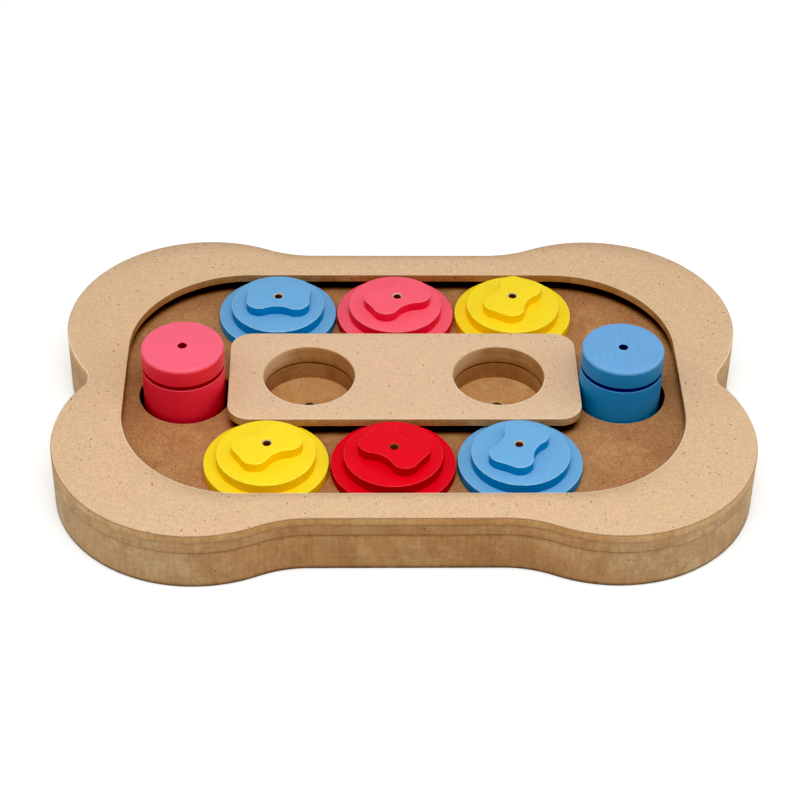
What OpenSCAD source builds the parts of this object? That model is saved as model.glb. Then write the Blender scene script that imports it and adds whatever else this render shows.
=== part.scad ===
// Treat puzzle for dogs: a bone-shaped board of three glued layers with a captive track round
// a centre bar, six stepped discs that slide in the track, and two pegs that plug the end wells.
// Origin: middle of the board's underside. +X along the board, +Y to the back, +Z up.

/* [Board] */
// Length of the bone-shaped board over its lobes
board_l = 300; // [294:1:306]
// Width of the board over its lobes
board_w = 203.2; // [200:0.2:207]
// Width of the board at its straight waist
waist_w = 181.6; // [178:0.2:184]
// Radius of the four lobes at the corners
lobe_r = 62; // [60:0.5:65]
// Length of the straight part of the waist
waist_l = 80.5; // [76:0.5:84]
// Radius of the notch in each end
notch_r = 9; // [6:0.5:14]

/* [Layers] */
// Thickness of the base board
base_t = 19; // [16:0.5:20]
// Thickness of the middle layer, which is the height of the track
track_t = 5.5; // [5:0.1:6.5]
// Thickness of the top layer, which is the lip over the track
lip_t = 4; // [3:0.5:6]

/* [Opening and track] */
// Length of the opening in the top layer
opening_l = 242.8; // [242:0.2:246]
// Width of the opening in the top layer
opening_w = 150.5; // [149:0.5:152]
// Corner radius of the opening
opening_r = 52.5; // [48:0.5:54]
// How far the track runs back under the lip
undercut = 5.5; // [5:0.1:7]

/* [Centre bar] */
// Length of the bar plate
bar_l = 153.4; // [150:0.2:153.4]
// Width of the bar plate
bar_w = 60; // [58:0.5:61]
// Corner radius of the bar plate
bar_r = 10; // [9:0.5:12]
// How far the plate overhangs the spacer under it
bar_overhang = 7; // [6:0.5:8]
// Distance of each bar well from the bar's middle
bar_well_x = 41.6; // [38:0.1:44]
// How far the bar is glued right of the middle
bar_shift_x = 0.4; // [0:0.1:0.5]
// How far the bar is glued behind the middle
bar_shift_y = 1.6; // [0:0.1:1.6]

/* [Wells] */
// Diameter of every well
well_d = 40; // [38:0.5:40]
// Depth of the wells below the track floor
well_h = 8; // [5:0.5:10]
// Distance of each end well from the middle
end_well_x = 95.5; // [95.5:0.1:97]
// Distance of the wells under the discs from the middle line
row_well_y = 52; // [51:0.5:53]
// Distance from well to well along a row
row_pitch = 53.5; // [53:0.5:55]

/* [Sliding discs] */
// Diameter of the flange that is held in the track
flange_d = 53; // [52:0.5:53]
// Thickness of the flange
flange_t = 4.5; // [4:0.1:4.8]
// Diameter of the collar that stands in the opening
collar_d = 42; // [38:0.5:42]
// Thickness of the collar
collar_t = 5; // [4:0.5:6]
// Rounding of the painted edges
disc_edge = 0.5; // [0.2:0.1:0.8]
// Diameter of the scent hole through disc and peg
scent_d = 4; // [3:0.5:5]

/* [Bone handles] */
// Thickness of the handle
handle_t = 4.5; // [3:0.5:6]
// Half the distance between the lobes along the handle
handle_lobe_x = 8.4; // [7.5:0.1:9]
// Half the distance between the lobes across the handle
handle_lobe_y = 3.8; // [3.4:0.1:4.2]
// Radius of the handle's lobes
handle_lobe_r = 5.9; // [5:0.1:6.2]
// Width of the handle at its waist
handle_waist = 15.2; // [14:0.1:16]
// Length of the straight part of the handle's waist
handle_waist_l = 0.4; // [0.2:0.1:2]
// Radius of the shallow hollow in each end of the handle
handle_end_r = 40; // [20:1:60]

/* [Pegs] */
// Diameter of the peg
peg_d = 36; // [32:0.5:36]
// Height of the peg
peg_h = 35.5; // [30:0.5:45]
// Rounding of the peg's top edge
peg_edge = 2.2; // [0.5:0.1:3]
// Half the height of the turned grip groove, and the radius of its bottom
groove_r = 1; // [0.5:0.1:2]
// Depth of the grip groove
groove_depth = 2.6; // [2:0.1:4]
// Distance of the groove from the top
groove_drop = 10; // [6:0.5:14]
// Diameter of the treat cup in the underside
cup_d = 24; // [16:1:28]
// Depth of the treat cup
cup_h = 12; // [6:1:16]

/* [Hidden] */
$fn = 96;

track_z = base_t;
lip_z = base_t + track_t;
well_z = base_t - well_h;
// Extra length by which a cut runs past a face
past = 1;
// Extra radius that makes a hollow cross the arc beside it, where it would only touch
cross = 0.02;

board_colour = "#DDBB95";
floor_colour = "#A97C50";
blue = "#4C96CE";
pink = "#F25566";
red = "#D81C24";
yellow = "#F8D420";

// How far each peg stands from the middle of its well
left_peg_off = [-0.3, 0];
right_peg_off = [-0.2, -1.2];
// Each disc: name, place, turn of its handle, how far handle and scent hole are off its middle, colour
DISCS = [
    ["back_left", [-56.1, 53.4], -2, [0.4, -0.1], blue],
    ["back_middle", [-2.6, 53.3], 31, [0.9, 0], pink],
    ["back_right", [51.1, 53], 60, [-0.3, 0.6], yellow],
    ["front_left", [-58.8, -49.7], 33, [0.5, 0.8], yellow],
    ["front_middle", [-5.1, -50.6], -37, [0.3, -0.7], red],
    ["front_right", [48.7, -49.7], 64, [-0.9, 0], blue]
];

// Rectangle with round corners, centred
module rounded_rect(l, w, r) {
    square([l - 2 * r, w], center = true);
    square([l, w - 2 * r], center = true);
    for (x = [-1, 1], y = [-1, 1])
        translate([x * (l / 2 - r), y * (w / 2 - r)]) circle(r);
}

// Bone outline: four lobes, and hollows that run smoothly into them at the sides and ends.
// The waist is straight for a length of waist_l, and the side hollows start there.
module bone(lobe_x, lobe_y, lobe_r, waist, waist_l, end_r) {
    side_x = waist_l / 2;
    side_r = (pow(lobe_x - side_x, 2) + pow(waist / 2 - lobe_y, 2) - pow(lobe_r, 2))
        / (2 * (lobe_r + lobe_y - waist / 2));
    side_y = waist / 2 + side_r;
    end_x = lobe_x + sqrt(pow(end_r + lobe_r, 2) - pow(lobe_y, 2));
    difference() {
        union() {
            polygon([[side_x, side_y], [-side_x, side_y], [-lobe_x, lobe_y], [-end_x, 0], [-lobe_x, -lobe_y],
                [-side_x, -side_y], [side_x, -side_y], [lobe_x, -lobe_y], [end_x, 0], [lobe_x, lobe_y]]);
            for (x = [-1, 1], y = [-1, 1])
                translate([x * lobe_x, y * lobe_y]) circle(lobe_r);
        }
        for (x = [-1, 1]) {
            translate([x * end_x, 0]) circle(end_r + cross);
            for (y = [-1, 1])
                translate([x * side_x, y * side_y]) circle(side_r + cross);
        }
        for (y = [-1, 1])
            translate([0, y * side_y]) square([waist_l, 2 * side_r], center = true);
    }
}

module board_outline() {
    bone(board_l / 2 - lobe_r, board_w / 2 - lobe_r, lobe_r, waist_w, waist_l, notch_r);
}

// Puts its children at the bar's two well places
module at_bar_wells() {
    for (x = [-1, 1])
        translate([bar_shift_x + x * bar_well_x, bar_shift_y]) children();
}

// Blind well drilled down from the track floor
module well() {
    translate([0, 0, well_z]) cylinder(d = well_d, h = well_h + past);
}

// Turned disc, its top edge rounded
module turned_disc(d, t, edge) {
    rotate_extrude() {
        square([d / 2, t - edge]);
        square([d / 2 - edge, t]);
        translate([d / 2 - edge, t - edge]) circle(edge);
    }
}

// One layer of a disc at its place, with the scent hole bored through it
module bored_layer(disc, z, t) {
    color(disc[4]) translate([0, 0, z]) translate(disc[1])
        difference() {
            children();
            translate([0, 0, -past]) translate(disc[3]) cylinder(d = scent_d, h = t + 2 * past);
        }
}

module base_board() {
    color(floor_colour)
        difference() {
            linear_extrude(base_t) board_outline();
            at_bar_wells() well();
            for (x = [-1, 1]) translate([x * end_well_x, 0]) well();
            for (x = [-1, 0, 1], y = [-1, 1])
                translate([x * row_pitch, y * row_well_y]) well();
        }
}

module track_ring() {
    color(board_colour)
        translate([0, 0, track_z]) linear_extrude(track_t)
            difference() {
                board_outline();
                rounded_rect(opening_l + 2 * undercut, opening_w + 2 * undercut, opening_r + undercut);
            }
}

module top_ring() {
    color(board_colour)
        translate([0, 0, lip_z]) linear_extrude(lip_t)
            difference() {
                board_outline();
                rounded_rect(opening_l, opening_w, opening_r);
            }
}

// One layer of the bar, with the two well holes through it
module bar_layer(z, t, l, w, r) {
    difference() {
        translate([bar_shift_x, bar_shift_y, z]) linear_extrude(t) rounded_rect(l, w, r);
        at_bar_wells() translate([0, 0, z - past]) cylinder(d = well_d, h = t + 2 * past);
    }
}

module bar_spacer() {
    color(floor_colour)
        bar_layer(track_z, track_t, bar_l - 2 * bar_overhang, bar_w - 2 * bar_overhang,
            bar_r - bar_overhang);
}

module bar_plate() {
    color(board_colour) bar_layer(lip_z, lip_t, bar_l, bar_w, bar_r);
}

// Turned peg with a rounded top edge, a grip groove, a scent hole and a treat cup underneath
module peg(side, off) {
    translate([side * end_well_x, 0, well_z]) translate(off)
        rotate_extrude()
            difference() {
                union() {
                    square([peg_d / 2, peg_h - peg_edge]);
                    square([peg_d / 2 - peg_edge, peg_h]);
                    translate([peg_d / 2 - peg_edge, peg_h - peg_edge]) circle(peg_edge);
                }
                translate([peg_d / 2 - groove_depth + groove_r, peg_h - groove_drop]) {
                    circle(groove_r);
                    translate([0, -groove_r]) square([groove_depth, 2 * groove_r]);
                }
                translate([-past, -past]) square([scent_d / 2 + past, peg_h + 2 * past]);
                translate([-past, -past]) square([cup_d / 2 + past, cup_h + past]);
            }
}

module flange(disc) {
    bored_layer(disc, track_z, flange_t) turned_disc(flange_d, flange_t, disc_edge);
}

module collar(disc) {
    bored_layer(disc, track_z + flange_t, collar_t) turned_disc(collar_d, collar_t, disc_edge);
}

module handle(disc) {
    bored_layer(disc, track_z + flange_t + collar_t, handle_t)
        translate(disc[3]) rotate(disc[2]) linear_extrude(handle_t)
            bone(handle_lobe_x, handle_lobe_y, handle_lobe_r, handle_waist, handle_waist_l, handle_end_r);
}

base_board();
track_ring();
top_ring();
bar_spacer();
bar_plate();
color(pink) peg(-1, left_peg_off);  // peg_left
color(blue) peg(1, right_peg_off);  // peg_right
for (disc = DISCS) {
    flange(disc);
    collar(disc);
    handle(disc);
}
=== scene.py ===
"""Treat puzzle for dogs: a bone-shaped fibreboard tray with a captive track round a centre bar,
six painted discs that slide in the track, and two painted pegs that plug the end wells."""

from math import atan2, cos, hypot, pi, radians, sin, sqrt

import bmesh
import bpy
from mathutils import Matrix, Vector


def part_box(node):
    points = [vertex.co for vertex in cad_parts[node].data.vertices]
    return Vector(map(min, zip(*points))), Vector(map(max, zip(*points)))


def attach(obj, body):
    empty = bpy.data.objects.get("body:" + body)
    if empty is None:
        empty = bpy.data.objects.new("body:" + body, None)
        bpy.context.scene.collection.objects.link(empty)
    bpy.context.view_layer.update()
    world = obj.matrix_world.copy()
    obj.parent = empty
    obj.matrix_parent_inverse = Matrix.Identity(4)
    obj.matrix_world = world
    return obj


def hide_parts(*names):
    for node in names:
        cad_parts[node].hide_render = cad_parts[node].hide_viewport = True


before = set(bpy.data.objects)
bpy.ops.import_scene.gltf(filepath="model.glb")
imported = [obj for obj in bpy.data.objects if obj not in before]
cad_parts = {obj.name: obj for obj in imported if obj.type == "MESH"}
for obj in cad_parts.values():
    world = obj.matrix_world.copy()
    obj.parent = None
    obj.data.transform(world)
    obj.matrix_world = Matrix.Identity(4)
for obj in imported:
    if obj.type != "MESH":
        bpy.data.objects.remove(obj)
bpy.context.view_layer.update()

# ---------------------------------------------------------------------------------------------
# Base board
# The thick bottom layer, cut from 19 mm fibreboard on a router to the outline of a bone. Flat-
# bottomed wells are bored into it with a centre bit, which leaves a small dimple in each floor.
# It is sanded, left unpainted, and takes the track ring and the bar on glue.
# ---------------------------------------------------------------------------------------------

MM = 0.001
base_low, base_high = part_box("base_board")
bottom_z = base_low.z
floor_z = base_high.z
board_l = base_high.x - base_low.x
board_w = base_high.y - base_low.y
lobe_r = 62 * MM
waist_w = 181.6 * MM
waist_l = 80.5 * MM
notch_r = 9 * MM
bottom_ease = 0.8 * MM
seam_ease = 0.1 * MM
opening_l = 242.8 * MM
opening_w = 150.5 * MM
opening_r = 52.5 * MM
plate_low, plate_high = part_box("bar_plate")
bar_l = plate_high.x - plate_low.x
bar_w = plate_high.y - plate_low.y
bar_r = 10 * MM
bar_shift = (0.4 * MM, 1.6 * MM)
bar_well_x = 41.6 * MM
end_well_x = 95.5 * MM
row_pitch = 53.5 * MM
row_well_y = 52 * MM
well_r = 20 * MM
well_z = floor_z - 8 * MM
well_ease = 0.3 * MM
well_corner = 2.6 * MM
dimple_r = 2.2 * MM
dimple_tip_r = 0.2 * MM
dimple_h = 1.6 * MM

# In how many steps each kind of curve is drawn, and the turn from which an edge looks sharp
EASE_STEPS = 4
CIRCLE_STEPS = 96
LOBE_STEPS = 48
HOLLOW_STEPS = 16
NOTCH_STEPS = 10
SHARP_TURN = radians(34)


def arc(centre, radius, start, end, steps):
    """Points along an arc, both ends included."""
    turns = [start + (end - start) * i / steps for i in range(steps + 1)]
    return [(centre[0] + radius * cos(turn), centre[1] + radius * sin(turn)) for turn in turns]


def circle(inset, radius, centre=(0, 0)):
    """Outline of a round piece."""
    return arc(centre, radius - inset, 0, 2 * pi, CIRCLE_STEPS)[:-1]


def bone(inset, lobe_x, lobe_y, lobe_r, waist, waist_l, end_r):
    """Bone outline: four lobes, and hollows that run smoothly into them at the sides and ends."""
    side_x = waist_l / 2
    side_r = ((lobe_x - side_x) ** 2 + (waist / 2 - lobe_y) ** 2 - lobe_r ** 2) \
        / (2 * (lobe_r + lobe_y - waist / 2))
    side_y = waist / 2 + side_r
    end_x = lobe_x + sqrt((end_r + lobe_r) ** 2 - lobe_y ** 2)
    end_turn = atan2(lobe_y, lobe_x - end_x)
    side_turn = atan2(lobe_y - side_y, lobe_x - side_x)
    quarter = arc((end_x, 0), end_r + inset, pi, end_turn, NOTCH_STEPS)
    quarter += arc((lobe_x, lobe_y), lobe_r - inset, end_turn - pi, side_turn + pi, LOBE_STEPS)[1:]
    quarter += arc((side_x, side_y), side_r + inset, side_turn, -pi / 2, HOLLOW_STEPS)[1:]
    half = quarter + [(-x, y) for x, y in reversed(quarter)]
    return half + [(x, -y) for x, y in reversed(half)][1:-1]


def board_outline(inset):
    """Outline of all three layers of the board."""
    return bone(inset, board_l / 2 - lobe_r, board_w / 2 - lobe_r, lobe_r, waist_w, waist_l, notch_r)


def wall(outline, low, high, low_ease, high_ease, hole=False):
    """Rings of an upright wall from low to high, with a quarter round at each end."""
    side = -1 if hole else 1
    turns = [i / EASE_STEPS * pi / 2 for i in range(EASE_STEPS + 1)]
    rings = [(low_ease * (1 - sin(turn)), low + low_ease * (1 - cos(turn))) for turn in turns]
    rings += [(high_ease * (1 - cos(turn)), high - high_ease * (1 - sin(turn))) for turn in turns]
    return [[(x, y, z) for x, y in outline(side * inset)] for inset, z in rings]


def turned(profile, centre=(0, 0)):
    """Rings of a turned wall through the (radius, height) pairs of a profile."""
    return [[(x, y, z) for x, y in circle(0, radius, centre)] for radius, z in profile]


def skin(bm, rings, bands=(), closed=False):
    """Joins each ring to the next one, and returns the first and the last.

    Bands are the numbers of the materials between the rings, and the first material is the rule.
    """
    loops = [[bm.verts.new(point) for point in ring] for ring in rings]
    if closed:
        loops.append(loops[0])
    for number, (near, far) in enumerate(zip(loops, loops[1:])):
        for i in range(len(near)):
            face = bm.faces.new((near[i - 1], near[i], far[i], far[i - 1]))
            face.material_index = bands[number] if bands else 0
    return loops[0], loops[-1]


def cap(bm, *loops):
    """Fills the flat face inside the first loop and round the others."""
    edges = [bm.edges.get((loop[i - 1], loop[i])) for loop in loops for i in range(len(loop))]
    bmesh.ops.triangle_fill(bm, use_beauty=True, edges=edges)


def piece(name, bm, body, slot, materials, *nodes):
    """Turns a mesh into a named piece that rides on a body and stands for the nodes."""
    bmesh.ops.recalc_face_normals(bm, faces=bm.faces)
    mesh = bpy.data.meshes.new(name)
    bm.to_mesh(mesh)
    bm.free()
    mesh.set_sharp_from_angle(angle=SHARP_TURN)
    made = bpy.data.objects.new(name, mesh)
    bpy.context.scene.collection.objects.link(made)
    for material in materials:
        mesh.materials.append(material)
    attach(made, body)
    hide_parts(*nodes)


def colour(code):
    """Linear colour of a hex code."""
    parts = [int(code[i:i + 2], 16) / 255 for i in (1, 3, 5)]
    linear = [p / 12.92 if p <= 0.04045 else ((p + 0.055) / 1.055) ** 2.4 for p in parts]
    return (*linear, 1.0)


def put(tree, kind, inputs, **settings):
    """Adds a node to a tree. An input given as a socket is linked, and any other value is set."""
    made = tree.nodes.new("ShaderNode" + kind)
    for name, value in settings.items():
        setattr(made, name, value)
    for name, value in inputs.items():
        if isinstance(value, bpy.types.NodeSocket):
            tree.links.new(value, made.inputs[name])
        else:
            made.inputs[name].default_value = value
    return made


def calc(tree, operation, first, second=0.0, third=0.0):
    """Result of a Math node."""
    return put(tree, "Math", {0: first, 1: second, 2: third}, operation=operation).outputs[0]


def ramp(tree, value, low, high, start=0.0, end=1.0):
    """Smooth step from start to end as the value goes from low to high."""
    inputs = {"Value": value, "From Min": low, "From Max": high, "To Min": start, "To Max": end}
    return put(tree, "MapRange", inputs, interpolation_type="SMOOTHSTEP").outputs["Result"]


def blend(tree, share, first, second, kind="MIX"):
    """Colour between the first and the second, by the share of the second."""
    inputs = {0: share, 6: first, 7: second}
    return put(tree, "Mix", inputs, data_type="RGBA", blend_type=kind).outputs[2]


def noise(tree, place, scale, detail=2.0, rough=0.5):
    """Noise that repeats about as often in a millimetre as the scale says."""
    inputs = {"Vector": place, "Scale": scale, "Detail": detail, "Roughness": rough}
    return put(tree, "TexNoise", inputs).outputs["Fac"]


def group(name, inputs, outputs):
    """Starts a node group, and returns its tree, its input sockets and its output node."""
    tree = bpy.data.node_groups.new(name, "ShaderNodeTree")
    for label, value in inputs.items():
        kind = "NodeSocketFloat" if isinstance(value, float) else "NodeSocketColor"
        socket = tree.interface.new_socket(label, in_out="INPUT", socket_type=kind)
        socket.default_value = value
    for label in outputs:
        kind = "NodeSocketColor" if label == "Color" else "NodeSocketFloat"
        tree.interface.new_socket(label, in_out="OUTPUT", socket_type=kind)
    return tree, tree.nodes.new("NodeGroupInput").outputs, tree.nodes.new("NodeGroupOutput")


def use(tree, source, inputs):
    """Places a node group in a tree, and returns its node."""
    return put(tree, "Group", inputs, node_tree=source)


def millimetres(tree, seed=(0, 0, 0), stretch=(1, 1, 1)):
    """The piece's own coordinates in millimetres, stretched and then moved by a seed."""
    place = tree.nodes.new("ShaderNodeTexCoord").outputs["Object"]
    factor = tuple(share / MM for share in stretch)
    scaled = put(tree, "VectorMath", {0: place, 1: factor}, operation="MULTIPLY").outputs[0]
    return put(tree, "VectorMath", {0: scaled, 1: seed}, operation="ADD").outputs[0]


def along(tree, axis):
    """Place along an axis in millimetres."""
    return put(tree, "SeparateXYZ", {0: millimetres(tree)}).outputs[axis]


def facing(tree, axis="Z"):
    """How far the surface faces along an axis: for Z, 1 on a top face, 0 on a wall, -1 underneath."""
    normal = tree.nodes.new("ShaderNodeNewGeometry").outputs["Normal"]
    return put(tree, "SeparateXYZ", {0: normal}).outputs[axis]


def mottled(tree, tint, uneven, low, high, strength):
    """Colour made darker where a value is low and lighter where it is high, by up to the strength."""
    light = calc(tree, "MULTIPLY_ADD", ramp(tree, uneven, low, high, -1.0, 1.0), strength, 1.0)
    return put(tree, "VectorMath", {0: tint, 3: light}, operation="SCALE").outputs[0]


# Sanded fibreboard: soft clouds of warm and cool tan, fine grain, dark specks and short fibres
WHITE = (1.0, 1.0, 1.0, 1.0)
fibre_face, values, out = group(
    "fibre_face",
    {"Base": WHITE, "Warm": WHITE, "Cool": WHITE, "Speck": WHITE, "Grain": 0.1, "Specks": 0.5, "Seed": 0.0},
    ["Color", "Height"])
tree = fibre_face
place = millimetres(tree, values["Seed"])
warm = ramp(tree, noise(tree, place, 0.045, 3.0), 0.38, 0.66)
tint = blend(tree, warm, values["Base"], values["Warm"])
cool = ramp(tree, noise(tree, place, 0.075, 3.0, 0.6), 0.48, 0.72)
tint = blend(tree, cool, tint, values["Cool"])
fine = noise(tree, place, 1.7, 2.0, 0.6)
soft = noise(tree, place, 0.55, 2.0, 0.6)
grain = calc(tree, "MULTIPLY_ADD", soft, 0.4, fine)
tint = mottled(tree, tint, grain, 0.4, 1.0, values["Grain"])

# Specks and fibres lie in cells of a face: how these are stretched, how many there are in a
# millimetre, how far a mark reaches in them, and the share of them that stays bare
MARKS = (
    ((1, 1, 1), 0.22, 0.12, 0.82),
    ((1, 2.6, 1), 0.2, 0.18, 0.97),
    ((2.6, 0.9, 1), 0.2, 0.18, 0.96),
    ((1.2, 1.7, 1), 0.45, 0.16, 0.92),
)
marks = 0.0
for stretch, cells, radius, bare in MARKS:
    inputs = {"Vector": millimetres(tree, values["Seed"], stretch), "Scale": cells}
    spot = put(tree, "TexVoronoi", inputs, voronoi_dimensions="2D")
    chance = put(tree, "SeparateColor", {0: spot.outputs["Color"]})
    reach = calc(tree, "MULTIPLY", chance.outputs[1], radius)
    inner = calc(tree, "SUBTRACT", 1.0, calc(tree, "DIVIDE", spot.outputs["Distance"], reach))
    there = calc(tree, "GREATER_THAN", chance.outputs[0], bare)
    marks = calc(tree, "MAXIMUM", calc(tree, "MULTIPLY", ramp(tree, inner, 0.0, 0.5), there), marks)
marks = calc(tree, "MULTIPLY", marks, values["Specks"])
tree.links.new(blend(tree, marks, tint, values["Speck"]), out.inputs["Color"])
tree.links.new(calc(tree, "SUBTRACT", grain, marks), out.inputs["Height"])

# Routed edge of fibreboard: upright cutter streaks, and bands where the board is more or less dense
fibre_edge, values, out = group(
    "fibre_edge",
    {"Base": WHITE, "Dense": WHITE, "Pale": WHITE, "Speck": WHITE, "Streak": 0.1, "Bands": 0.02,
     "Seed": 0.0}, ["Color", "Height"])
tree, seed = fibre_edge, values["Seed"]
cloud = noise(tree, millimetres(tree, seed, (1, 1, 1.6)), 0.045, 4.0, 0.6)
tint = blend(tree, ramp(tree, cloud, 0.44, 0.6), values["Base"], values["Pale"])
cloud = noise(tree, millimetres(tree, seed, (1, 1, 0.7)), 0.06, 4.0, 0.7)
tint = blend(tree, ramp(tree, cloud, 0.44, 0.6), tint, values["Dense"])
streaks = noise(tree, millimetres(tree, seed, (1, 1, 0.12)), 0.6, 3.0, 0.75)
crumbs = noise(tree, millimetres(tree, seed, (0.35, 0.35, 1)), 1.2, 2.0, 0.7)
rough = calc(tree, "ADD", streaks, crumbs)
tint = mottled(tree, tint, rough, 0.7, 1.3, values["Streak"])
bands = noise(tree, millimetres(tree, seed, (0.03, 0.03, 1)), 1.1, 3.0, 0.7)
tint = mottled(tree, tint, bands, 0.3, 0.7, values["Bands"])
spot = put(tree, "TexVoronoi", {"Vector": millimetres(tree, seed), "Scale": 0.16})
chance = put(tree, "SeparateColor", {0: spot.outputs["Color"]}).outputs[0]
speck = calc(tree, "MULTIPLY", ramp(tree, spot.outputs["Distance"], 0.09, 0.05),
             calc(tree, "GREATER_THAN", chance, 0.75))
tree.links.new(blend(tree, speck, tint, values["Speck"]), out.inputs["Color"])
tree.links.new(rough, out.inputs["Height"])

# Band at a level of an edge: a dark line where two glued boards meet, or a painted shadow along a joint or
# along the bottom of the board
glue_line, values, out = group(
    "glue_line", {"Color": WHITE, "Line": WHITE, "Height": 0.0, "Width": 0.3, "Strength": 1.0}, ["Color"])
tree = glue_line
away = calc(tree, "ABSOLUTE", calc(tree, "SUBTRACT", along(tree, "Z"), values["Height"]))
near = calc(tree, "SUBTRACT", 1.0, ramp(tree, away, 0.0, values["Width"]))
broken = ramp(tree, noise(tree, millimetres(tree), 0.35), 0.25, 0.5, 0.55, 1.0)
share = calc(tree, "MULTIPLY", calc(tree, "MULTIPLY", near, broken), values["Strength"])
tree.links.new(blend(tree, share, values["Color"], values["Line"]), out.inputs["Color"])

# Painted light toward the ends of the board, which makes the edge paler there, and how near the ends are
lit_board_ends, values, out = group("lit_board_ends", {"Color": WHITE, "Paler": WHITE}, ["Color", "Near"])
tree = lit_board_ends
near = ramp(tree, calc(tree, "ABSOLUTE", along(tree, "X")), 40.0, 150.0)
tree.links.new(blend(tree, near, values["Color"], values["Paler"], "MULTIPLY"), out.inputs["Color"])
tree.links.new(near, out.inputs["Near"])

# Painted light on the rim of a board: a painted highlight where it turns, painted shade just below, and a
# painted tone of its own where it faces back
painted_rim_light, values, out = group(
    "painted_rim_light",
    {"Color": WHITE, "Pale": WHITE, "Paleness": 0.0, "Dark": WHITE, "Darkness": 0.0, "Back": WHITE,
     "Backs": 0.0}, ["Color"])
tree = painted_rim_light
up = facing(tree)
below = calc(tree, "MULTIPLY", ramp(tree, up, 0.12, 0.3), ramp(tree, up, 0.97, 0.85))
below = calc(tree, "MULTIPLY", below, values["Darkness"])
tint = blend(tree, below, values["Color"], values["Dark"])
turn = calc(tree, "MULTIPLY", ramp(tree, up, 0.7, 0.85), ramp(tree, up, 0.999, 0.95))
tint = blend(tree, calc(tree, "MULTIPLY", turn, values["Paleness"]), tint, values["Pale"])
back = calc(tree, "MULTIPLY", ramp(tree, facing(tree, "Y"), 0.03, 0.2), ramp(tree, up, 0.1, 0.3))
tint = blend(tree, calc(tree, "MULTIPLY", back, values["Backs"]), tint, values["Back"])
tree.links.new(tint, out.inputs["Color"])

# Signed distance in millimetres from an upright wall of rounded rectangular outline, negative inside
rect_distance, values, out = group(
    "rect_distance", {"Length": 100.0, "Width": 100.0, "Radius": 10.0, "X": 0.0, "Y": 0.0}, ["Distance"])
tree = rect_distance
sides = []
for axis, size in (("X", "Length"), ("Y", "Width")):
    away = calc(tree, "ABSOLUTE", calc(tree, "SUBTRACT", along(tree, axis), values[axis]))
    reach = calc(tree, "SUBTRACT", calc(tree, "MULTIPLY", values[size], 0.5), values["Radius"])
    sides.append(calc(tree, "SUBTRACT", away, reach))
corner = [calc(tree, "POWER", calc(tree, "MAXIMUM", side, 0.0), 2.0) for side in sides]
corner = calc(tree, "SQRT", calc(tree, "ADD", *corner))
inner = calc(tree, "MINIMUM", calc(tree, "MAXIMUM", *sides), 0.0)
distance = calc(tree, "SUBTRACT", calc(tree, "ADD", corner, inner), values["Radius"])
tree.links.new(distance, out.inputs["Distance"])


def start_material(name, gloss, roughness=0.5):
    """Starts a material, and returns it with its tree and its shader."""
    material = bpy.data.materials.new(name)
    material.use_nodes = True
    shader = material.node_tree.nodes["Principled BSDF"]
    shader.inputs["Specular IOR Level"].default_value = gloss
    shader.inputs["Roughness"].default_value = roughness
    return material, material.node_tree, shader


def bump(tree, shader, height, depth):
    """Feeds a height through a Bump node into the shader's normal. The depth is in millimetres."""
    made = put(tree, "Bump", {"Height": height, "Strength": 1.0, "Distance": depth * MM})
    tree.links.new(made.outputs["Normal"], shader.inputs["Normal"])


FACE_COLOURS = ("Base", "Warm", "Cool", "Speck")
EDGE_COLOURS = ("Base", "Dense", "Pale", "Speck")
RIM_HIGHLIGHT_COLOUR = "#FBE8CC"
LIT_ENDS_TINT = (1.2, 1.45, 1.85, 1.0)


def fibre(tree, source, names, codes, inputs):
    """Places a fibre group, and sets the inputs of these names to the colours of the codes."""
    return use(tree, source, {**dict(zip(names, map(colour, codes))), **inputs})


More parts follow.
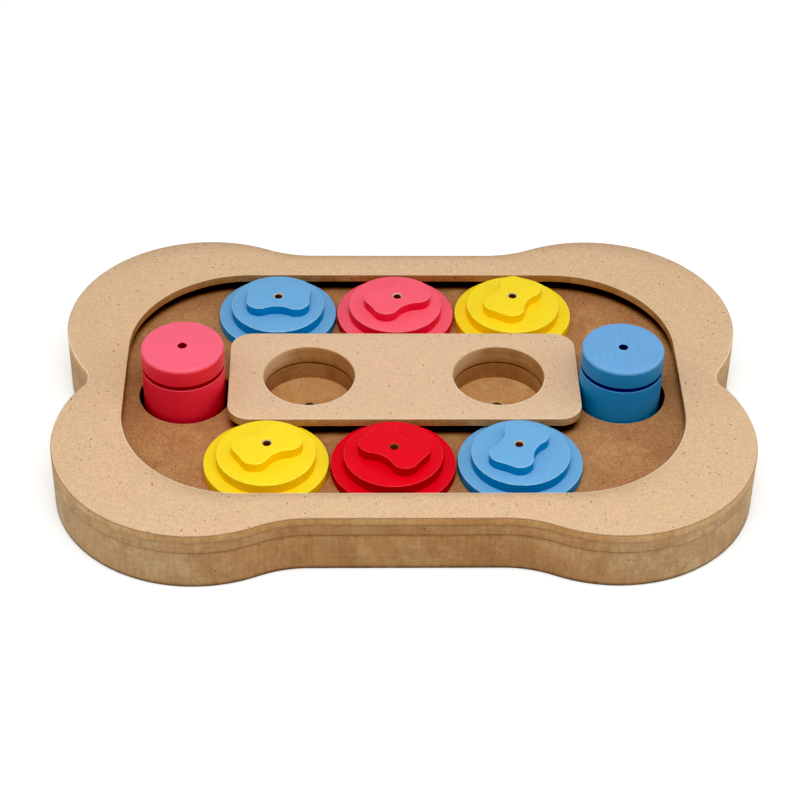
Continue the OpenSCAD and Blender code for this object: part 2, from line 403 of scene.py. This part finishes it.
def fibreboard(name, face, edge, seed, grain=0.15, specks=0.9, streak=0.14, bands=0.02, seams=(),
               ends=False, rim_highlight_share=0.0, rim_shade_share=0.0, rim_reach=None, back_rim=None,
               over_face=None, over_edge=None):
    """Fibreboard with sanded faces and routed edges, in four colours each, and a fifth for lines.

    Seams are dark lines along an edge: level, width, strength, and how far they fade toward the
    ends of the board. With ends, the edges are made paler toward the ends of the board, as painted
    light. Rims get a painted highlight, or painted shade just below, by a share. With a reach, the
    highlight is within it from the middle of the board's width, and the shade beyond it. Back_rim
    is a colour painted on rims that face back, as a highlight or as shade. Over_face and over_edge
    are functions that change the colour of the faces or of the edges.
    """
    material, tree, shader = start_material(name, 0.15)
    sanded = fibre(tree, fibre_face, FACE_COLOURS, face, {"Grain": grain, "Specks": specks, "Seed": seed})
    routed = fibre(tree, fibre_edge, EDGE_COLOURS, edge, {"Streak": streak, "Bands": bands, "Seed": seed})
    top, side = sanded.outputs["Color"], routed.outputs["Color"]
    if over_face:
        top = over_face(tree, top)
    if over_edge:
        side = over_edge(tree, side)
    near_end = 0.0
    # Painted light: the edges are paler toward the ends of the board
    if ends:
        paler = use(tree, lit_board_ends, {"Color": side, "Paler": LIT_ENDS_TINT})
        side, near_end = paler.outputs["Color"], paler.outputs["Near"]
    for level, width, strength, fade in seams:
        shown = calc(tree, "SUBTRACT", strength, calc(tree, "MULTIPLY", near_end, strength * fade))
        side = use(tree, glue_line, {"Color": side, "Line": colour(edge[4]), "Height": level,
                                     "Width": width, "Strength": shown}).outputs["Color"]
    up = facing(tree)
    flat = calc(tree, "MAXIMUM", ramp(tree, up, 0.25, 0.8), ramp(tree, up, -0.96, -0.995))
    tint = blend(tree, flat, side, top)
    if rim_reach:
        away = calc(tree, "ABSOLUTE", along(tree, "Y"))
        rim_highlight_share = ramp(tree, away, rim_reach * 1.2, rim_reach * 0.8, 0.0, rim_highlight_share)
        rim_shade_share = ramp(tree, away, rim_reach * 0.8, rim_reach * 1.2, 0.0, rim_shade_share)
    # Painted highlight and painted shade on the rims
    if rim_highlight_share or rim_shade_share or back_rim:
        tint = use(tree, painted_rim_light, {
            "Color": tint, "Pale": colour(RIM_HIGHLIGHT_COLOUR), "Paleness": rim_highlight_share, "Dark": colour(edge[4]),
            "Darkness": rim_shade_share, "Back": colour(back_rim or RIM_HIGHLIGHT_COLOUR), "Backs": float(bool(back_rim))
        }).outputs["Color"]
    tree.links.new(tint, shader.inputs["Base Color"])
    heights = {0: flat, 2: routed.outputs["Height"], 3: sanded.outputs["Height"]}
    uneven = put(tree, "Mix", heights).outputs[0]
    bump(tree, shader, uneven, 0.04)
    tree.links.new(ramp(tree, uneven, 0.2, 1.2, 0.55, 0.72), shader.inputs["Roughness"])
    return material


# Painted shadow, from what keeps light off the floor of the track: outline as length, width, radius
# and middle, and how far beyond it the floor is dark and clear, in millimetres
COVERS = (
    ((opening_l, opening_w, opening_r, 0, 0), 3.8, -0.5),
    ((bar_l, bar_w, bar_r, *bar_shift), -3.4, 0.6),
)
SHADOW = "#140A04"
FLOOR_FACE = ("#B88458", "#AE7A50", "#BF8E5E", "#6A3F20")
PALE_FACE = ("#D09E68", "#C48E58", "#D8AC78", "#7A4F2E")
DARK_EDGE = ("#B88A5A", "#AE8052", "#BC9464", "#7A4F2C", "#4A2812")
WELL_EDGE = ("#A87A50", "#9E7048", "#B08458", *DARK_EDGE[3:])
WELL_SHADE_FACE = ("#4A2E1A", "#442A18", "#50341E", "#2E1C10")
WELL_SHADE_EDGE = ("#5E3A22", "#50301A", "#6A442A", "#20120A", "#20120A")


def floor_shadow_and_underside(tree, top):
    """Paints shadow on the floor under the lip and the bar, and makes the underside of the board paler."""
    for outline, dark, clear in COVERS:
        names = ("Length", "Width", "Radius", "X", "Y")
        inputs = {name: size / MM for name, size in zip(names, outline)}
        away = use(tree, rect_distance, inputs).outputs["Distance"]
        top = blend(tree, ramp(tree, away, clear, dark, 0.0, 0.9), top, colour(SHADOW))
    pale = fibre(tree, fibre_face, FACE_COLOURS, PALE_FACE, {"Grain": 0.21, "Specks": 0.9, "Seed": 53.0})
    under = calc(tree, "LESS_THAN", facing(tree), 0.0)
    return blend(tree, under, top, pale.outputs["Color"])


# The line at the top of the base's edge is its glue joint; the wide dark band at its bottom is painted
# contact shadow
base_seams = ((floor_z / MM, 1.8, 0.3, 0.8), (bottom_z / MM, 2.6, 1.0, 0.0))
base_material = fibreboard("base_fibreboard", FLOOR_FACE, DARK_EDGE, 3.0, grain=0.3, specks=0.7,
                           seams=base_seams, ends=True, over_face=floor_shadow_and_underside)
# Painted highlight on the well rims that face back
well_material = fibreboard("well_bore", PALE_FACE, WELL_EDGE, 63.0, grain=0.2, streak=0.06, bands=0.08,
                           back_rim="#E8BE96")
# Painted shade: the walls and corners of the end wells, round the pegs, and the dimples of all wells are
# coloured near black
well_shade_material = fibreboard("painted_shade_bore", WELL_SHADE_FACE, WELL_SHADE_EDGE, 61.0, back_rim="#E8BE96")
base_materials = [base_material, well_shade_material, well_material]
SHADED_WELL, BORED = 1, 2

bar_wells = [(bar_shift[0] + side * bar_well_x, bar_shift[1]) for side in (-1, 1)]
end_wells = [(side * end_well_x, 0) for side in (-1, 1)]
row_wells = [(column * row_pitch, row * row_well_y) for column in (-1, 0, 1) for row in (-1, 1)]

bm = bmesh.new()
bottom, top = skin(bm, wall(board_outline, bottom_z, floor_z, bottom_ease, seam_ease))
rims = []
for centre in bar_wells + end_wells + row_wells:
    rings = wall(lambda inset: circle(inset, well_r, centre), well_z, floor_z, 0, well_ease, hole=True)
    rings = rings[:EASE_STEPS - 1:-1] + turned([(well_r - well_corner, well_z)], centre)
    # Painted shade on the walls of the end wells and on every dimple
    bands = [SHADED_WELL if centre in end_wells else BORED] * (len(rings) - 1) + [BORED, SHADED_WELL]
    rings += turned([(dimple_r, well_z), (dimple_tip_r, well_z - dimple_h)], centre)
    rim, tip = skin(bm, rings, bands)
    rims.append(rim)
    cap(bm, tip)
cap(bm, bottom)
cap(bm, top, *rims)
piece("board_base", bm, "board", "mdf_floor", base_materials, "base_board")

# ---------------------------------------------------------------------------------------------
# Track ring and top ring
# Two thinner layers of the same outline, glued on the base board. The lower one is cut back
# further, so that the upper one stands over the track as a lip that keeps the discs in.
# ---------------------------------------------------------------------------------------------

undercut = 5.5 * MM
track_ease = 0.2 * MM
lip_under_ease = 0.3 * MM
lip_ease = 0.45 * MM
top_ease = 0.6 * MM
ring_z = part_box("track_ring")[0].z
lip_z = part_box("top_ring")[0].z
CORNER_STEPS = 32


def rounded_rect(inset, length, width, radius, centre=(0, 0)):
    """Rectangle with round corners."""
    x, y = length / 2 - radius, width / 2 - radius
    corners = [(x, y, 0), (-x, y, pi / 2), (-x, -y, pi), (x, -y, 3 * pi / 2)]
    arcs = [arc((centre[0] + x, centre[1] + y), radius - inset, start, start + pi / 2, CORNER_STEPS)
            for x, y, start in corners]
    return [point for corner in arcs for point in corner]


def opening(inset):
    """Outline of the opening in the top ring."""
    return rounded_rect(inset, opening_l, opening_w, opening_r)


def track(inset):
    """Outline of the opening in the track ring."""
    return rounded_rect(inset, opening_l + 2 * undercut, opening_w + 2 * undercut, opening_r + undercut)


def plate(name, node, outer, holes, eases, hole_eases, materials):
    """Flat board with holes, all with eased edges: the low ease and the high one.

    The walls of the holes have the second of the materials.
    """
    low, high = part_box(node)
    bm = bmesh.new()
    bottom, top = skin(bm, wall(outer, low.z, high.z, *eases))
    bottoms, tops = [bottom], [top]
    for hole in holes:
        rings = wall(hole, low.z, high.z, *hole_eases, hole=True)
        bottom, top = skin(bm, rings, [1] * (len(rings) - 1))
        bottoms.append(bottom)
        tops.append(top)
    cap(bm, *bottoms)
    cap(bm, *tops)
    piece(name, bm, "board", "mdf_face", materials, node)


FACE = ("#DDBB94", "#DEBA95", "#DCBB94", "#80522A")
LIP_EDGE = ("#C6945E", "#BC8A56", "#C89E68", *DARK_EDGE[3:])
# Painted shade: the inner wall of the track ring, under the lip, is coloured near black
TRACK_SHADE_EDGE = ("#3A2414", "#301C0E", "#42291A", "#20120A", "#20120A")
# Painted shade: the lip's inner wall is darker than the outer edges
OPENING_SHADE_EDGE = ("#AA7A4C", "#A07044", "#B08454", *DARK_EDGE[3:])
ring_seams = ((ring_z / MM, 0.9, 0.45, 0.8), (lip_z / MM, 1.1, 0.35, 0.8))
ring_material = fibreboard("ring_fibreboard", FACE, DARK_EDGE, 11.0, seams=ring_seams, ends=True)
# Painted light on the lip's rims: a painted highlight near the middle of the board's width, painted shade
# just below the rims beyond it, and painted shade on rims that face back
lip_material = fibreboard("lip_fibreboard", FACE, LIP_EDGE, 23.0, seams=ring_seams, ends=True,
                          rim_highlight_share=1.0, rim_shade_share=0.45, rim_reach=32, back_rim="#8A6848")
track_shade_material = fibreboard("track_wall_painted_shade", FACE, TRACK_SHADE_EDGE, 31.0)
# Painted highlight on the rims of the opening, strongest on rims that face back
opening_material = fibreboard("opening_wall", FACE, OPENING_SHADE_EDGE, 37.0, rim_highlight_share=0.25,
                              back_rim="#FFF2E0")
plate("board_track_ring", "track_ring", board_outline, [track], (seam_ease, seam_ease),
      (track_ease, track_ease), [ring_material, track_shade_material])
plate("board_top_ring", "top_ring", board_outline, [opening], (seam_ease, top_ease),
      (lip_under_ease, lip_ease), [lip_material, opening_material])

# ---------------------------------------------------------------------------------------------
# Centre bar
# A spacer of the track's height, and a wider plate on it that overhangs the track on all four
# sides. Both have two holes bored through over the wells, and are glued slightly off centre.
# ---------------------------------------------------------------------------------------------

bar_overhang = 7 * MM
spacer_ease = 0.2 * MM
joint_ease = 0.02 * MM
bar_under_ease = 0.3 * MM
bar_ease = 0.6 * MM
bar_hole_ease = 0.7 * MM


def bar_outline(inset):
    """Outline of the bar's plate."""
    return rounded_rect(inset, bar_l, bar_w, bar_r, bar_shift)


def spacer_outline(inset):
    """Outline of the spacer, which the plate overhangs."""
    return rounded_rect(inset, bar_l - 2 * bar_overhang, bar_w - 2 * bar_overhang, bar_r - bar_overhang,
                        bar_shift)


def lit_left_wall(tree, side):
    """Paints light on the left side of a hole, which faces right, making it paler toward its top."""
    high = ramp(tree, along(tree, "Z"), floor_z / MM - 2, plate_high.z / MM - 1, 0.0, 0.85)
    left = ramp(tree, facing(tree, "X"), 0.1, 0.75)
    return blend(tree, calc(tree, "MULTIPLY", high, left), side, colour(FACE[0]))


BAR_FACE = ("#DFBE9A", "#E1BC9A", "#DDBF9A", "#8E6440")
BAR_BORE = ("#B28454", "#AA7C4E", "#BA8E5E", *DARK_EDGE[3:])
spacer_material = fibreboard("spacer_fibreboard", FACE, DARK_EDGE, 51.0)
# Painted highlight on the bar's rims, and painted shade just below them
bar_material = fibreboard("bar_fibreboard", BAR_FACE, DARK_EDGE, 51.0, rim_highlight_share=0.55, rim_shade_share=0.35)
# Painted light in the bar's holes: a painted highlight on rims that face back, and the dark joint line at
# their foot widened into painted shadow
bore_material = fibreboard("bar_bore", FACE, BAR_BORE, 51.0, streak=0.06, bands=0.12,
                           seams=((floor_z / MM, 1.9, 1.0, 0.0),), back_rim="#FFF2E0",
                           over_edge=lit_left_wall)
bar_holes = [lambda inset, centre=centre: circle(inset, well_r, centre) for centre in bar_wells]
plate("bar_spacer_board", "bar_spacer", spacer_outline, bar_holes, (spacer_ease, spacer_ease),
      (spacer_ease, joint_ease), [spacer_material, bore_material])
plate("bar_top_board", "bar_plate", bar_outline, bar_holes, (bar_under_ease, bar_ease),
      (joint_ease, bar_hole_ease), [bar_material, bore_material])

# ---------------------------------------------------------------------------------------------
# Sliding discs
# Each disc is a wide flange that stays under the lips, a collar that stands in the opening and a
# small bone to take hold of. They are cut from board, painted in one colour and glued in a stack by
# hand, so that no bone sits quite in the middle. A scent hole is bored through bone and stack.
# ---------------------------------------------------------------------------------------------

# Paint with painted light: a lighter copy of its colour where it faces up, a darker one on the walls as
# painted shade, and a painted highlight along rims, broken up in patches
paint_coat, values, out = group(
    "paint_coat",
    {"Top": WHITE, "Side": WHITE, "Rim": WHITE, "Grain": 0.02, "Seed": 0.0, "Rim light": 0.5},
    ["Color", "Height"])
tree = paint_coat
up = facing(tree)
tint = blend(tree, ramp(tree, up, 0.1, 0.9), values["Side"], values["Top"])
place = millimetres(tree, values["Seed"])
cloud = noise(tree, place, 0.12, 3.0)
fibres = noise(tree, millimetres(tree, values["Seed"], (1, 0.06, 0.06)), 0.9, 3.0, 0.6)
pores = noise(tree, place, 1.6, 2.0, 0.6)
uneven = calc(tree, "ADD", calc(tree, "ADD", cloud, fibres), pores)
tint = mottled(tree, tint, uneven, 1.1, 1.9, values["Grain"])
turn = calc(tree, "MULTIPLY", ramp(tree, up, 0.2, 0.5), ramp(tree, up, 0.99, 0.8))
highlight_patches = ramp(tree, noise(tree, place, 0.5), 0.3, 0.6, 0.4, 1.0)
rim = calc(tree, "MULTIPLY", calc(tree, "MULTIPLY", turn, highlight_patches), values["Rim light"])
tree.links.new(blend(tree, rim, tint, values["Rim"]), out.inputs["Color"])
tree.links.new(uneven, out.inputs["Height"])


def paint(name, top, side, rim, seed, rim_light, grain=0.03, gloss=0.15):
    """Satin paint on wood, with painted light: lighter on top, darker on the sides, and a painted highlight
    on rims.
    """
    material, tree, shader = start_material(name, gloss, roughness=0.4)
    coat = use(tree, paint_coat, {"Top": colour(top), "Side": colour(side), "Rim": colour(rim),
                                  "Grain": grain, "Seed": seed, "Rim light": rim_light})
    tree.links.new(coat.outputs["Color"], shader.inputs["Base Color"])
    bump(tree, shader, coat.outputs["Height"], 0.02)
    return material


# Each paint: lit top colour, shaded side colour, painted rim highlight colour, seed and strength of the
# highlight
PAINTS = {
    "blue": paint("blue_paint", "#70AEDE", "#0682C2", "#A9D6F2", 1.0, 0.8),
    "pink": paint("pink_paint", "#FC6376", "#E42C40", "#FF8A98", 2.0, 0.6),
    "red": paint("red_paint", "#E41C28", "#B81016", "#F4505A", 3.0, 0.6, gloss=0.08),
    "yellow": paint("yellow_paint", "#FCDE2C", "#FCCA10", "#FFF858", 4.0, 0.9),
}

# The scent holes are bare inside, but the red paint has run into them. Their walls are a darker brown that
# paints the shade in the narrow bores
HOLE_EDGE = ("#7C4A2E", "#6C4028", "#8C5838", "#40241A", "#40241A")
bare_wood = fibreboard("bare_bore", ("#D9C2A2", "#D2B58F", "#DCC8AB", "#8E6440"), HOLE_EDGE, 71.0)
stained_wood = fibreboard("stained_bore", ("#A0503A", "#904430", "#AA5C44", "#703020"), HOLE_EDGE, 72.0)
HOLES = {"blue": bare_wood, "pink": bare_wood, "red": stained_wood, "yellow": bare_wood}

disc_under_ease = 0.2 * MM
disc_ease = 0.5 * MM
collar_r = 21 * MM
scent_r = 1.75 * MM    # paint has drawn the 4 mm holes in a little
layer_chamfer = 0.1 * MM
handle_chamfer = 0.4 * MM
handle_under_ease = 0.1 * MM
handle_ease = 0.45 * MM
handle_lobe = (8.4 * MM, 3.8 * MM)
handle_lobe_r = 5.9 * MM
handle_waist = 15.2 * MM
handle_waist_l = 0.4 * MM
handle_end_r = 40 * MM
# Each disc: turn of its bone, paint, and how far its bone and scent hole are off its middle, in mm
DISCS = {
    "back_left": (-2, "blue", (0.4, -0.1)),
    "back_middle": (31, "pink", (0.9, 0)),
    "back_right": (60, "yellow", (-0.3, 0.6)),
    "front_left": (33, "yellow", (0.5, 0.8)),
    "front_middle": (-37, "red", (0.3, -0.7)),
    "front_right": (64, "blue", (-0.9, 0)),
}


def middle(node):
    """Middle of a node, seen from above."""
    low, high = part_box(node)
    return (low.x + high.x) / 2, (low.y + high.y) / 2


def layer(node, outline, hole, under_ease, top_ease, chamfer):
    """Mesh of one layer of a disc, with a scent hole that has a bare chamfer at its mouth."""
    low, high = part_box(node)
    bm = bmesh.new()
    outer = skin(bm, wall(outline, low.z, high.z, under_ease, top_ease))
    rings = turned([(scent_r, low.z), (scent_r, high.z - chamfer), (scent_r + chamfer, high.z)], hole)
    inner = skin(bm, rings, [1, 1])
    cap(bm, outer[0], inner[0])
    cap(bm, outer[1], inner[1])
    return bm


def handle_outline(inset):
    """Outline of a bone-shaped handle, about its own middle."""
    return bone(inset, *handle_lobe, handle_lobe_r, handle_waist, handle_waist_l, handle_end_r)


for disc, (turn, paint_name, off) in DISCS.items():
    body, slot = disc + "_disc", paint_name + "_paint"
    materials = [PAINTS[paint_name], HOLES[paint_name]]
    flange, collar, handle = disc + "_flange", disc + "_collar", disc + "_handle"
    centre = middle(flange)
    flange_r = (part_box(flange)[1].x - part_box(flange)[0].x) / 2
    hole = (centre[0] + off[0] * MM, centre[1] + off[1] * MM)
    for name, node, radius in (("_foot", flange, flange_r), ("_step", collar, collar_r)):
        bm = layer(node, lambda inset: circle(inset, radius, middle(node)), hole, disc_under_ease,
                   disc_ease, layer_chamfer)
        piece(disc + name, bm, body, slot, materials, node)
    bm = layer(handle, handle_outline, (0, 0), handle_under_ease, handle_ease, handle_chamfer)
    bm.transform(Matrix.Translation((*hole, 0)) @ Matrix.Rotation(radians(turn), 4, "Z"))
    piece(disc + "_bone", bm, body, slot, materials, handle)

# ---------------------------------------------------------------------------------------------
# Pegs
# Turned from solid wood: a rounded top edge, a grip groove below it, a scent hole down the
# middle and a treat cup bored into the underside. They stand loose in the end wells.
# ---------------------------------------------------------------------------------------------

peg_edge = 2.2 * MM
peg_foot = 0.8 * MM
groove_half = 1.0 * MM
groove_depth = 2.6 * MM
groove_drop = 10 * MM
groove_ease = 0.25 * MM
peg_scent_r = 2 * MM
peg_scent_chamfer = 0.2 * MM
cup_r = 12 * MM
cup_h = 12 * MM
cup_chamfer = 0.3 * MM
GROOVE_STEPS = 10
PEG_EDGE_STEPS = 8
# Each peg: its paint, and a dark copy of it that paints shade in the groove and the scent hole
PEG_PAINTS = {
    "pink": [paint("peg_pink_paint", "#FA6880", "#E23444", "#FF8492", 7.0, 0.25, grain=0.02),
             paint("pink_painted_shade", "#B82030", "#98101C", "#B82030", 9.0, 0.0)],
    "blue": [paint("peg_blue_paint", "#6EA8DC", "#2C80B6", "#90C4EA", 8.0, 0.25, grain=0.05),
             paint("blue_painted_shade", "#0A3C78", "#042A5C", "#0A3C78", 10.0, 0.0)],
}

for side, paint_name in (("left", "pink"), ("right", "blue")):
    node = "peg_" + side
    low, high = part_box(node)
    centre = middle(node)
    radius = (high.x - low.x) / 2
    groove_z = high.z - groove_drop
    eased = radius - groove_ease
    lip = groove_half + groove_ease
    profile = [(peg_scent_r, low.z + cup_h), (cup_r, low.z + cup_h), (cup_r, low.z + cup_chamfer),
               (cup_r + cup_chamfer, low.z), (radius - peg_foot, low.z), (radius, low.z + peg_foot)]
    profile += arc((eased, groove_z - lip), groove_ease, 0, pi / 2, EASE_STEPS)
    profile += [(radius - groove_depth + groove_half - x, z) for x, z in
                arc((0, groove_z), groove_half, -pi / 2, pi / 2, GROOVE_STEPS)]
    profile += arc((eased, groove_z + lip), groove_ease, -pi / 2, 0, EASE_STEPS)
    profile += arc((radius - peg_edge, high.z - peg_edge), peg_edge, 0, pi / 2, PEG_EDGE_STEPS)
    profile += [(peg_scent_r + peg_scent_chamfer, high.z), (peg_scent_r, high.z - peg_scent_chamfer)]
    bm = bmesh.new()
    skin(bm, turned(profile, centre), closed=True)
    # Painted shade: the groove and the scent hole get a dark copy of the paint
    for face in bm.faces:
        place = face.calc_center_median()
        in_groove = abs(place.z - groove_z) < groove_half * 1.01
        in_hole = hypot(place.x - centre[0], place.y - centre[1]) < peg_scent_r * 1.01
        face.material_index = int(in_groove or in_hole)
    piece(side + "_treat_peg", bm, side + "_peg", paint_name + "_paint", PEG_PAINTS[paint_name], node)

# ---------------------------------------------------------------------------------------------
# Studio
# A plain white floor, a soft light over the front of the board, weaker ones at both ends and a
# weak fill all round.
# ---------------------------------------------------------------------------------------------

floor_half = 3.0
floor_gap = 0.05 * MM
floor_glow = 0.4
fill = 0.5
scene = bpy.context.scene
bm = bmesh.new()
bmesh.ops.create_grid(bm, x_segments=1, y_segments=1, size=floor_half)
mesh = bpy.data.meshes.new("studio_floor")
bm.to_mesh(mesh)
bm.free()
studio_floor = bpy.data.objects.new("studio_floor", mesh)
scene.collection.objects.link(studio_floor)
studio_floor.location.z = bottom_z - floor_gap
material, tree, shader = start_material("studio_white", 0.1, roughness=0.9)
shader.inputs["Base Color"].default_value = (0.8, 0.8, 0.8, 1.0)
# The floor glows a little for the camera alone, so that it comes out white and lights nothing
seen = put(tree, "LightPath", {}).outputs["Is Camera Ray"]
tree.links.new(calc(tree, "MULTIPLY", seen, floor_glow), shader.inputs["Emission Strength"])
shader.inputs["Emission Color"].default_value = WHITE
mesh.materials.append(material)

scene.world = bpy.data.worlds.new("studio_light")
scene.world.use_nodes = True
background = scene.world.node_tree.nodes["Background"]
background.inputs["Color"].default_value = WHITE
background.inputs["Strength"].default_value = fill


def soft_light(name, place, aim, size, power):
    """Round soft light at a place, turned to what it lights."""
    lamp = bpy.data.lights.new(name, "AREA")
    lamp.shape = "DISK"
    lamp.size = size
    lamp.energy = power
    made = bpy.data.objects.new(name, lamp)
    scene.collection.objects.link(made)
    made.location = place
    made.rotation_euler = (Vector(aim) - Vector(place)).to_track_quat("-Z", "Y").to_euler()


soft_light("overhead_light", (0, -0.25, 0.6), (0, -0.12, 0), 0.5, 1.9)
soft_light("right_light", (1.7, -0.15, 0.85), (0, 0, 0), 1.1, 6.6)
soft_light("left_light", (-1.7, 0.15, 0.85), (0, 0, 0), 1.1, 4.6)

# The camera stands in front of the board, a little to the left, and looks down on it
camera_place = Vector((-25.15, -771.49, 656.47)) * MM
camera_pitch = radians(39.70)
camera_yaw = radians(1.78)
camera_roll = radians(1.10)
camera_lens = 102.18
forward = Vector((sin(camera_yaw) * cos(camera_pitch), cos(camera_yaw) * cos(camera_pitch),
                  -sin(camera_pitch)))
level = Vector((cos(camera_yaw), -sin(camera_yaw), 0))
upward = level.cross(forward)
right = level * cos(camera_roll) + upward * sin(camera_roll)
top = upward * cos(camera_roll) - level * sin(camera_roll)
facing_camera = Matrix((right, top, -forward)).transposed().to_4x4()
camera = bpy.data.objects.new("camera", bpy.data.cameras.new("camera"))
camera.data.lens = camera_lens
camera.data.sensor_width = 36
camera.matrix_world = Matrix.Translation(camera_place) @ facing_camera
scene.collection.objects.link(camera)
scene.camera = camera

# The darkest tones are deepened a little
black_level = 0.012
scene.view_settings.view_transform = "Standard"
scene.view_settings.use_curve_mapping = True
scene.view_settings.curve_mapping.black_level = (black_level, black_level, black_level)
scene.view_settings.curve_mapping.update()
